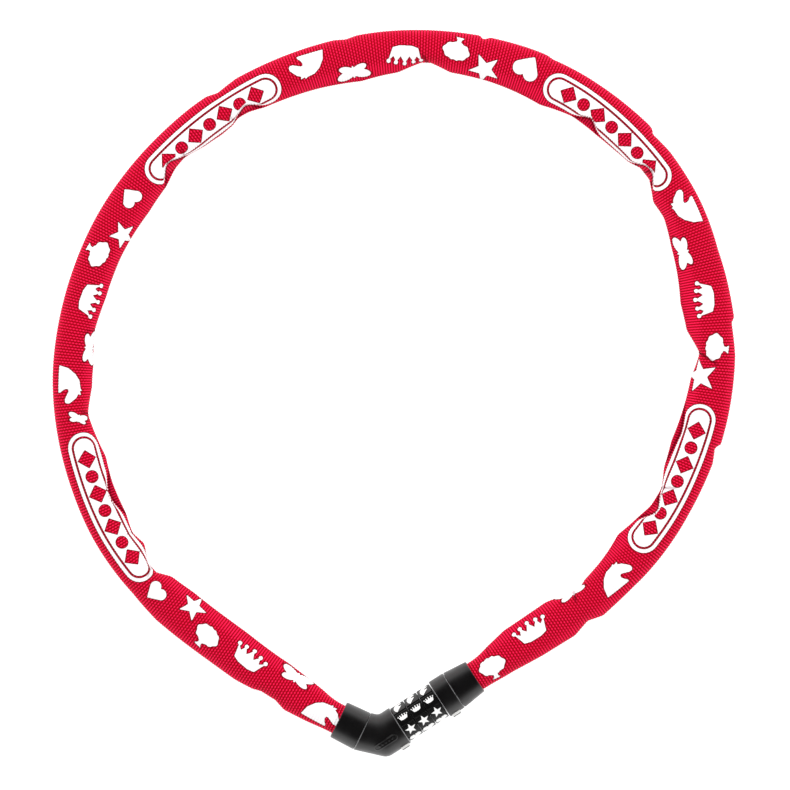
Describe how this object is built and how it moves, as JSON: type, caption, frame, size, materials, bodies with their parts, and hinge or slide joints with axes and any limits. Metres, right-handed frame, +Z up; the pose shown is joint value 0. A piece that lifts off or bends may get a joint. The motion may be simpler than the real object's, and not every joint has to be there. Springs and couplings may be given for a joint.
{
  "type": "combination chain lock",
  "caption": "Closed-loop chain lock: square-wire steel chain in a printed red woven sleeve, joined by a black elbowed lock body with symbol dials.",
  "frame": {"origin": "under the middle of the whole lock, on the surface that it lies on", "axes": "the loop lies flat in XY; +Z up; the lock body at -Y, its elbow and plug at the loop's lowest part, and the dials' axis 33 degrees from +X"},
  "size_m": [0.3662, 0.39, 0.022],
  "materials": {
    "woven_nylon": "red crosswise-ribbed woven nylon tube with white printed motifs",
    "hard_steel": "hardened square steel wire and turned steel, zinc plated",
    "cast_zinc": "zinc die casting, as cast",
    "spring_steel": "bright spring strip",
    "casing_plastic": "black moulded plastic, satin",
    "dial_plastic": "black moulded plastic with white symbols on its faces",
    "white_plastic": "white moulded plastic"
  },
  "bodies": {
    "lock_body": {"elbow_housing": "casing_plastic", "lock_core": "cast_zinc", "anchor_pin": "hard_steel", "chain_cap": "casing_plastic", "chain_cap_clamp": "spring_steel", "collar": "casing_plastic", "collar_snap_ring": "spring_steel", "index_mark_elbow": "white_plastic", "index_mark_collar": "white_plastic", "dial_washer_1": "spring_steel", "dial_washer_2": "spring_steel", "detent_spring": "spring_steel", "fabric_sleeve": "woven_nylon"},
    "dial_1": {"dial_ring_1": "dial_plastic", "code_ring_1": "cast_zinc"},
    "dial_2": {"dial_ring_2": "dial_plastic", "code_ring_2": "cast_zinc"},
    "dial_3": {"dial_ring_3": "dial_plastic", "code_ring_3": "cast_zinc"},
    "link_01": {"chain_link_01": "hard_steel"},
    "link_02": {"chain_link_02": "hard_steel"},
    "link_03": {"chain_link_03": "hard_steel"},
    "link_04": {"chain_link_04": "hard_steel"},
    "link_05": {"chain_link_05": "hard_steel"},
    "link_06": {"chain_link_06": "hard_steel"},
    "link_07": {"chain_link_07": "hard_steel"},
    "link_08": {"chain_link_08": "hard_steel"},
    "link_09": {"chain_link_09": "hard_steel"},
    "link_10": {"chain_link_10": "hard_steel"},
    "link_11": {"chain_link_11": "hard_steel"},
    "link_12": {"chain_link_12": "hard_steel"},
    "link_13": {"chain_link_13": "hard_steel"},
    "link_14": {"chain_link_14": "hard_steel"},
    "link_15": {"chain_link_15": "hard_steel"},
    "link_16": {"chain_link_16": "hard_steel"},
    "link_17": {"chain_link_17": "hard_steel"},
    "link_18": {"chain_link_18": "hard_steel"},
    "link_19": {"chain_link_19": "hard_steel"},
    "link_20": {"chain_link_20": "hard_steel"},
    "link_21": {"chain_link_21": "hard_steel"},
    "link_22": {"chain_link_22": "hard_steel"},
    "link_23": {"chain_link_23": "hard_steel"},
    "link_24": {"chain_link_24": "hard_steel"},
    "link_25": {"chain_link_25": "hard_steel"},
    "link_26": {"chain_link_26": "hard_steel"},
    "link_27": {"chain_link_27": "hard_steel"},
    "link_28": {"chain_link_28": "hard_steel"},
    "link_29": {"chain_link_29": "hard_steel"},
    "link_30": {"chain_link_30": "hard_steel"},
    "link_31": {"chain_link_31": "hard_steel"},
    "link_32": {"chain_link_32": "hard_steel"},
    "link_33": {"chain_link_33": "hard_steel"},
    "link_34": {"chain_link_34": "hard_steel"},
    "link_35": {"chain_link_35": "hard_steel"},
    "link_36": {"chain_link_36": "hard_steel"},
    "plug": {"locking_bolt": "hard_steel", "plug_pin": "hard_steel", "plug_cap": "casing_plastic", "plug_cap_clamp": "spring_steel"}
  },
  "joints": [
    {"name": "dial_turn_1", "type": "hinge", "parent": "lock_body", "child": "dial_1", "pos_m": [0.00749, -0.17666, 0.01098], "axis": [0.8387, 0.5446, 0], "continuous": true},
    {"name": "dial_turn_2", "type": "hinge", "parent": "lock_body", "child": "dial_2", "pos_m": [0.01445, -0.17214, 0.01098], "axis": [0.8387, 0.5446, 0], "continuous": true},
    {"name": "dial_turn_3", "type": "hinge", "parent": "lock_body", "child": "dial_3", "pos_m": [0.02141, -0.16762, 0.01098], "axis": [0.8387, 0.5446, 0], "continuous": true},
    {"name": "chain_pivot_01", "type": "hinge", "parent": "lock_body", "child": "link_01", "pos_m": [-0.01839, -0.1813, 0.01098], "axis": [0, 0, -1], "range_deg": [0, 2.71], "deforming": ["fabric_sleeve"]},
    {"name": "chain_pivot_02", "type": "hinge", "parent": "link_01", "child": "link_02", "pos_m": [-0.04397, -0.16814, 0.01067], "axis": [0, 0, -1], "range_deg": [-6.88, 10.66]},
    {"name": "chain_pivot_03", "type": "hinge", "parent": "link_02", "child": "link_03", "pos_m": [-0.06866, -0.15343, 0.0093], "axis": [0, 0, -1], "range_deg": [-6.88, 10.79]},
    {"name": "chain_pivot_04", "type": "hinge", "parent": "link_03", "child": "link_04", "pos_m": [-0.09196, -0.13661, 0.00794], "axis": [0, 0, -1], "range_deg": [-6.88, 10.31]},
    {"name": "chain_pivot_05", "type": "hinge", "parent": "link_04", "child": "link_05", "pos_m": [-0.11451, -0.11875, 0.00768], "axis": [0, 0, -1], "range_deg": [-6.88, 9.46]},
    {"name": "chain_pivot_06", "type": "hinge", "parent": "link_05", "child": "link_06", "pos_m": [-0.13537, -0.09894, 0.00768], "axis": [0, 0, -1], "range_deg": [-6.88, 8.42]},
    {"name": "chain_pivot_07", "type": "hinge", "parent": "link_06", "child": "link_07", "pos_m": [-0.15201, -0.07547, 0.00768], "axis": [0, 0, -1], "range_deg": [-6.88, 7.31]},
    {"name": "chain_pivot_08", "type": "hinge", "parent": "link_07", "child": "link_08", "pos_m": [-0.16347, -0.04908, 0.00768], "axis": [0, 0, -1], "range_deg": [-7.5, 6.88]},
    {"name": "chain_pivot_09", "type": "hinge", "parent": "link_08", "child": "link_09", "pos_m": [-0.17061, -0.02121, 0.00768], "axis": [0, 0, -1], "range_deg": [-8.44, 6.88]},
    {"name": "chain_pivot_10", "type": "hinge", "parent": "link_09", "child": "link_10", "pos_m": [-0.17296, 0.00746, 0.00768], "axis": [0, 0, -1], "range_deg": [-9.21, 6.88]},
    {"name": "chain_pivot_11", "type": "hinge", "parent": "link_10", "child": "link_11", "pos_m": [-0.16973, 0.03605, 0.00768], "axis": [0, 0, -1], "range_deg": [-9.79, 6.88]},
    {"name": "chain_pivot_12", "type": "hinge", "parent": "link_11", "child": "link_12", "pos_m": [-0.16193, 0.06374, 0.00768], "axis": [0, 0, -1], "range_deg": [-10.17, 6.88]},
    {"name": "chain_pivot_13", "type": "hinge", "parent": "link_12", "child": "link_13", "pos_m": [-0.14997, 0.0899, 0.00768], "axis": [0, 0, -1], "range_deg": [-10.35, 6.88]},
    {"name": "chain_pivot_14", "type": "hinge", "parent": "link_13", "child": "link_14", "pos_m": [-0.13362, 0.11358, 0.00768], "axis": [0, 0, -1], "range_deg": [-10.36, 6.88]},
    {"name": "chain_pivot_15", "type": "hinge", "parent": "link_14", "child": "link_15", "pos_m": [-0.11377, 0.1344, 0.00768], "axis": [0, 0, -1], "range_deg": [-10.23, 6.88]},
    {"name": "chain_pivot_16", "type": "hinge", "parent": "link_15", "child": "link_16", "pos_m": [-0.09114, 0.15217, 0.00768], "axis": [0, 0, -1], "range_deg": [-9.98, 6.88]},
    {"name": "chain_pivot_17", "type": "hinge", "parent": "link_16", "child": "link_17", "pos_m": [-0.0661, 0.16634, 0.00768], "axis": [0, 0, -1], "range_deg": [-9.65, 6.88]},
    {"name": "chain_pivot_18", "type": "hinge", "parent": "link_17", "child": "link_18", "pos_m": [-0.03932, 0.17685, 0.00768], "axis": [0, 0, -1], "range_deg": [-9.27, 6.88]},
    {"name": "chain_pivot_19", "type": "hinge", "parent": "link_18", "child": "link_19", "pos_m": [-0.01128, 0.18327, 0.00768], "axis": [0, 0, -1], "range_deg": [-8.85, 6.88]},
    {"name": "chain_pivot_20", "type": "hinge", "parent": "link_19", "child": "link_20", "pos_m": [0.01746, 0.18454, 0.00768], "axis": [0, 0, -1], "range_deg": [-8.41, 6.88]},
    {"name": "chain_pivot_21", "type": "hinge", "parent": "link_20", "child": "link_21", "pos_m": [0.04604, 0.18119, 0.00768], "axis": [0, 0, -1], "range_deg": [-7.97, 6.88]},
    {"name": "chain_pivot_22", "type": "hinge", "parent": "link_21", "child": "link_22", "pos_m": [0.07377, 0.17353, 0.00768], "axis": [0, 0, -1], "range_deg": [-7.53, 6.88]},
    {"name": "chain_pivot_23", "type": "hinge", "parent": "link_22", "child": "link_23", "pos_m": [0.09955, 0.16076, 0.00768], "axis": [0, 0, -1], "range_deg": [-7.12, 6.88]},
    {"name": "chain_pivot_24", "type": "hinge", "parent": "link_23", "child": "link_24", "pos_m": [0.12218, 0.14299, 0.00768], "axis": [0, 0, -1], "range_deg": [-6.88, 7.02]},
    {"name": "chain_pivot_25", "type": "hinge", "parent": "link_24", "child": "link_25", "pos_m": [0.14158, 0.12175, 0.00768], "axis": [0, 0, -1], "range_deg": [-6.88, 7.39]},
    {"name": "chain_pivot_26", "type": "hinge", "parent": "link_25", "child": "link_26", "pos_m": [0.15713, 0.09755, 0.00768], "axis": [0, 0, -1], "range_deg": [-6.88, 7.73]},
    {"name": "chain_pivot_27", "type": "hinge", "parent": "link_26", "child": "link_27", "pos_m": [0.16718, 0.07059, 0.00768], "axis": [0, 0, -1], "range_deg": [-6.88, 8.02]},
    {"name": "chain_pivot_28", "type": "hinge", "parent": "link_27", "child": "link_28", "pos_m": [0.17208, 0.04224, 0.00768], "axis": [0, 0, -1], "range_deg": [-6.88, 8.28]},
    {"name": "chain_pivot_29", "type": "hinge", "parent": "link_28", "child": "link_29", "pos_m": [0.17262, 0.01348, 0.00768], "axis": [0, 0, -1], "range_deg": [-6.88, 8.48]},
    {"name": "chain_pivot_30", "type": "hinge", "parent": "link_29", "child": "link_30", "pos_m": [0.16839, -0.01498, 0.00768], "axis": [0, 0, -1], "range_deg": [-6.88, 8.62]},
    {"name": "chain_pivot_31", "type": "hinge", "parent": "link_30", "child": "link_31", "pos_m": [0.15931, -0.04228, 0.00768], "axis": [0, 0, -1], "range_deg": [-6.88, 8.69]},
    {"name": "chain_pivot_32", "type": "hinge", "parent": "link_31", "child": "link_32", "pos_m": [0.14616, -0.06787, 0.00768], "axis": [0, 0, -1], "range_deg": [-6.88, 8.66]},
    {"name": "chain_pivot_33", "type": "hinge", "parent": "link_32", "child": "link_33", "pos_m": [0.12843, -0.09053, 0.00768], "axis": [0, 0, -1], "range_deg": [-6.88, 8.53]},
    {"name": "chain_pivot_34", "type": "hinge", "parent": "link_33", "child": "link_34", "pos_m": [0.10659, -0.10925, 0.00789], "axis": [0, 0, -1], "range_deg": [-6.88, 8.31]},
    {"name": "chain_pivot_35", "type": "hinge", "parent": "link_34", "child": "link_35", "pos_m": [0.08338, -0.1262, 0.0092], "axis": [0, 0, -1], "range_deg": [-6.88, 8.01]},
    {"name": "chain_pivot_36", "type": "hinge", "parent": "link_35", "child": "link_36", "pos_m": [0.05987, -0.14272, 0.01061], "axis": [0, 0, -1], "range_deg": [-6.88, 7.66]},
    {"name": "chain_pivot_37", "type": "hinge", "parent": "link_36", "child": "plug", "pos_m": [0.03571, -0.15833, 0.01098], "axis": [0, 0, -1], "range_deg": [-6.88, 7.28]}
  ],
  "couplings": [
    {"joint": "chain_pivot_02", "follows": "chain_pivot_01", "ratio": 1.4},
    {"joint": "chain_pivot_03", "follows": "chain_pivot_01", "ratio": 1.4461},
    {"joint": "chain_pivot_04", "follows": "chain_pivot_01", "ratio": 1.2688},
    {"joint": "chain_pivot_05", "follows": "chain_pivot_01", "ratio": 0.95542},
    {"joint": "chain_pivot_06", "follows": "chain_pivot_01", "ratio": 0.56936},
    {"joint": "chain_pivot_07", "follows": "chain_pivot_01", "ratio": 0.16127},
    {"joint": "chain_pivot_08", "follows": "chain_pivot_01", "ratio": -0.23006},
    {"joint": "chain_pivot_09", "follows": "chain_pivot_01", "ratio": -0.57827},
    {"joint": "chain_pivot_10", "follows": "chain_pivot_01", "ratio": -0.86453},
    {"joint": "chain_pivot_11", "follows": "chain_pivot_01", "ratio": -1.0778},
    {"joint": "chain_pivot_12", "follows": "chain_pivot_01", "ratio": -1.2167},
    {"joint": "chain_pivot_13", "follows": "chain_pivot_01", "ratio": -1.285},
    {"joint": "chain_pivot_14", "follows": "chain_pivot_01", "ratio": -1.2892},
    {"joint": "chain_pivot_15", "follows": "chain_pivot_01", "ratio": -1.24},
    {"joint": "chain_pivot_16", "follows": "chain_pivot_01", "ratio": -1.1491},
    {"joint": "chain_pivot_17", "follows": "chain_pivot_01", "ratio": -1.027},
    {"joint": "chain_pivot_18", "follows": "chain_pivot_01", "ratio": -0.88392},
    {"joint": "chain_pivot_19", "follows": "chain_pivot_01", "ratio": -0.72792},
    {"joint": "chain_pivot_20", "follows": "chain_pivot_01", "ratio": -0.56564},
    {"joint": "chain_pivot_21", "follows": "chain_pivot_01", "ratio": -0.40274},
    {"joint": "chain_pivot_22", "follows": "chain_pivot_01", "ratio": -0.24329},
    {"joint": "chain_pivot_23", "follows": "chain_pivot_01", "ratio": -0.090102},
    {"joint": "chain_pivot_24", "follows": "chain_pivot_01", "ratio": 0.054814},
    {"joint": "chain_pivot_25", "follows": "chain_pivot_01", "ratio": 0.19012},
    {"joint": "chain_pivot_26", "follows": "chain_pivot_01", "ratio": 0.31424},
    {"joint": "chain_pivot_27", "follows": "chain_pivot_01", "ratio": 0.42469},
    {"joint": "chain_pivot_28", "follows": "chain_pivot_01", "ratio": 0.51908},
    {"joint": "chain_pivot_29", "follows": "chain_pivot_01", "ratio": 0.59442},
    {"joint": "chain_pivot_30", "follows": "chain_pivot_01", "ratio": 0.64614},
    {"joint": "chain_pivot_31", "follows": "chain_pivot_01", "ratio": 0.66915},
    {"joint": "chain_pivot_32", "follows": "chain_pivot_01", "ratio": 0.65907},
    {"joint": "chain_pivot_33", "follows": "chain_pivot_01", "ratio": 0.61219},
    {"joint": "chain_pivot_34", "follows": "chain_pivot_01", "ratio": 0.52932},
    {"joint": "chain_pivot_35", "follows": "chain_pivot_01", "ratio": 0.41875},
    {"joint": "chain_pivot_36", "follows": "chain_pivot_01", "ratio": 0.28949},
    {"joint": "chain_pivot_37", "follows": "chain_pivot_01", "ratio": 0.14891}
  ]
}
